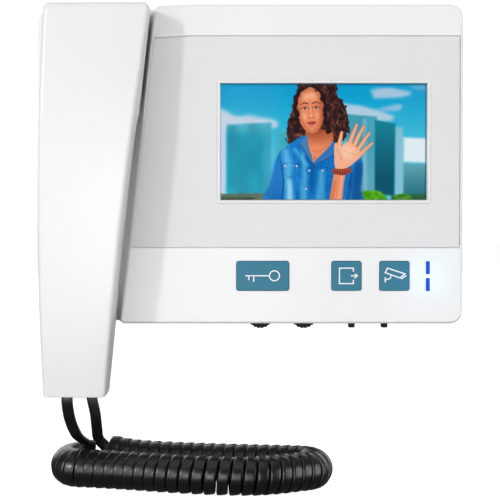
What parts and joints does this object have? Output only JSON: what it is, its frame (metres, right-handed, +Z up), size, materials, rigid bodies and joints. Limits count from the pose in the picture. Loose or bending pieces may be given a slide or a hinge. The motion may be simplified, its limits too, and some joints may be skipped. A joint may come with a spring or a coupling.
{
  "type": "video intercom monitor",
  "caption": "Wall-mounted video door intercom monitor with a colour display, push buttons and a lift-off handset on a curly cord.",
  "frame": {"origin": "centre of the wall bracket's four screw holes, on the wall", "axes": "+X to the viewer's right, +Z up, +Y into the wall, so the face looks along -Y"},
  "size_m": [0.198, 0.057, 0.2235],
  "materials": {
    "gloss_white": "polished moulded ABS",
    "satin_grey": "satin moulded plastic",
    "frame_grey": "satin bevelled plastic",
    "window_clear": "clear acrylic",
    "display_glass": "backlit colour display, emissive",
    "foam_black": "soft foam",
    "flex_amber": "polyimide flex",
    "board_green": "solder-masked board",
    "part_black": "moulded component body",
    "capacitor_sleeve": "shrunk sleeve",
    "terminal_green": "moulded terminal body",
    "zinc_steel": "zinc plated",
    "spring_steel": "drawn wire",
    "weight_steel": "raw bar",
    "led_white": "small light chips, emissive",
    "light_blue": "blue light pipe, emissive",
    "plunger_white": "moulded acetal",
    "speaker_black": "pressed basket and cone",
    "rubber_grey": "soft pad",
    "rubber_black": "soft boot",
    "jack_grey": "moulded socket",
    "button_teal": "satin teal with printed white line icons",
    "knob_black": "moulded knob",
    "wire_red": "insulated wire",
    "plug_clear": "smoked modular plug",
    "cord_black": "glossy flexible cord jacket"
  },
  "bodies": {
    "console": {"wall_bracket": "zinc_steel", "back_shell": "gloss_white", "front_shell": "gloss_white", "face_plate": "satin_grey", "display_frame": "frame_grey", "display_window": "window_clear", "display_gasket": "foam_black", "display_panel": "display_glass", "display_bracket": "zinc_steel", "display_ribbon": "flex_amber", "main_board": "board_green", "circuit_chips": "part_black", "capacitors": "capacitor_sleeve", "terminal_block": "terminal_green", "terminal_screws": "zinc_steel", "board_screws": "zinc_steel", "case_screws": "zinc_steel", "lock_screw": "zinc_steel", "button_switches": "part_black", "status_leds": "led_white", "light_pipes": "light_blue", "volume_pots": "part_black", "mode_switches": "part_black", "hook_board": "board_green", "hook_switch": "part_black", "hook_spring": "spring_steel", "loudspeaker": "speaker_black", "cradle_bumper": "rubber_grey", "base_jack": "jack_grey", "cord_coil": "cord_black", "lead_base": "cord_black", "plug_base": "plug_clear"},
    "key": {"key_button": "button_teal", "key_switch_stem": "part_black"},
    "exit": {"exit_button": "button_teal", "exit_switch_stem": "part_black"},
    "camera": {"camera_button": "button_teal", "camera_switch_stem": "part_black"},
    "chime_dial": {"chime_wheel": "knob_black"},
    "brightness_dial": {"brightness_wheel": "knob_black"},
    "chime_slider": {"chime_slide_knob": "knob_black"},
    "mode_slider": {"mode_slide_knob": "knob_black"},
    "hook": {"hook_plunger": "plunger_white"},
    "handset": {"handset_outer_shell": "gloss_white", "handset_inner_shell": "gloss_white", "ear_receiver": "speaker_black", "microphone": "zinc_steel", "microphone_boot": "rubber_black", "handset_jack": "jack_grey", "handset_weight": "weight_steel", "handset_wires": "wire_red", "handset_screws": "zinc_steel", "plug_handset": "plug_clear", "lead_handset": "cord_black"}
  },
  "joints": [
    {"name": "handset_lift", "type": "slide", "parent": "console", "child": "handset", "axis": [0, -0.8, 0.6], "range_m": [0, 0.03]},
    {"name": "hook_rise", "type": "slide", "parent": "console", "child": "hook", "axis": [0, -1, 0], "range_m": [0, 0.003], "deforming": ["hook_spring"]},
    {"name": "key_press", "type": "slide", "parent": "console", "child": "key", "axis": [0, 1, 0], "range_m": [0, 0.0006], "stiffness_N_per_m": 800, "springref_m": -0.001},
    {"name": "exit_press", "type": "slide", "parent": "console", "child": "exit", "axis": [0, 1, 0], "range_m": [0, 0.0006], "stiffness_N_per_m": 800, "springref_m": -0.001},
    {"name": "camera_press", "type": "slide", "parent": "console", "child": "camera", "axis": [0, 1, 0], "range_m": [0, 0.0006], "stiffness_N_per_m": 800, "springref_m": -0.001},
    {"name": "chime_turn", "type": "hinge", "parent": "console", "child": "chime_dial", "pos_m": [0.0048, -0.025, -0.0701], "axis": [0, 1, 0], "range_deg": [-135, 135]},
    {"name": "brightness_turn", "type": "hinge", "parent": "console", "child": "brightness_dial", "pos_m": [0.025, -0.025, -0.0701], "axis": [0, 1, 0], "range_deg": [-135, 135]},
    {"name": "chime_slide", "type": "slide", "parent": "console", "child": "chime_slider", "axis": [1, 0, 0], "range_m": [0, 0.002]},
    {"name": "mode_slide", "type": "slide", "parent": "console", "child": "mode_slider", "axis": [1, 0, 0], "range_m": [0, 0.002]}
  ],
  "couplings": [
    {"joint": "hook_rise", "follows": "handset_lift", "ratio": 0.1}
  ]
}
